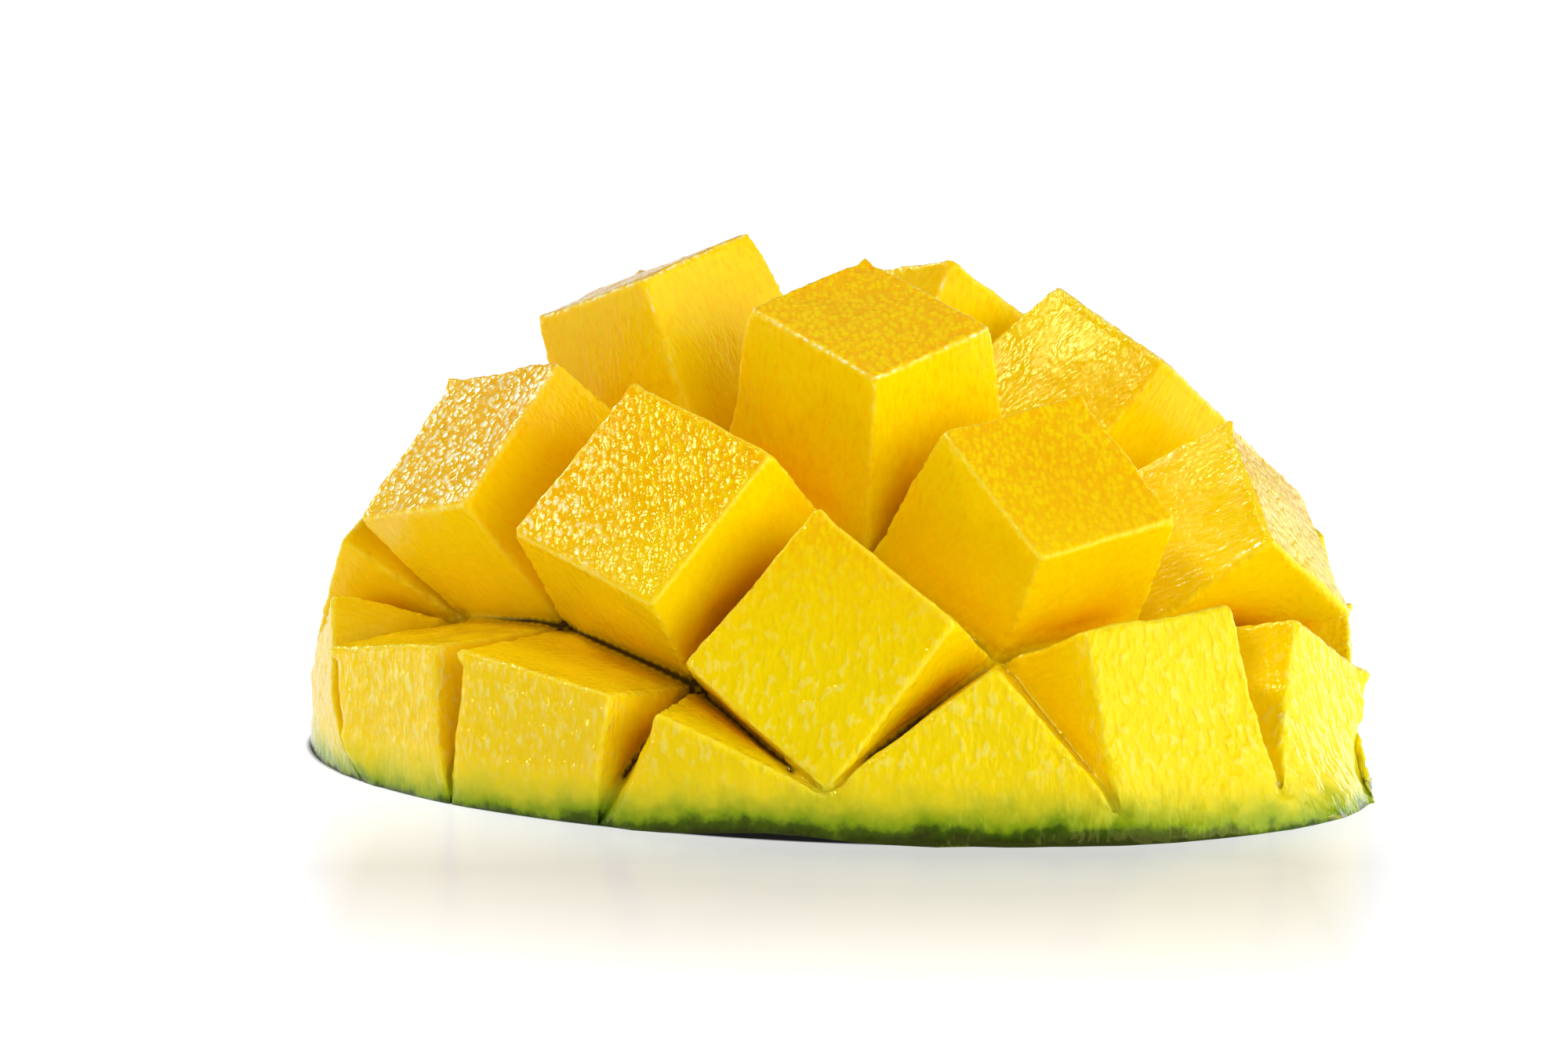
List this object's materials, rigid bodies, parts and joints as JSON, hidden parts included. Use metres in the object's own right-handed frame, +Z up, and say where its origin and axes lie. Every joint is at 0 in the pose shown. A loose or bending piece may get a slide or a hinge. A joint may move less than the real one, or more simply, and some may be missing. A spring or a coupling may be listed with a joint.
{
  "type": "sliced mango",
  "caption": "Half a mango scored into blocks and turned inside out: a hollow dome of yellow flesh with green skin at its rim.",
  "frame": {"origin": "under the middle of the mango half's bounding box, on the surface it stands on", "axes": "+X along the half's length, to the pictured right; +Z up; -Y towards the pictured side"},
  "size_m": [0.1016, 0.0838, 0.0497],
  "materials": {
    "mango_flesh": "moist yellow fruit flesh, green skin in a thin band at the rim"
  },
  "bodies": {
    "root": {"mango_cheek": "mango_flesh"}
  },
  "joints": []
}
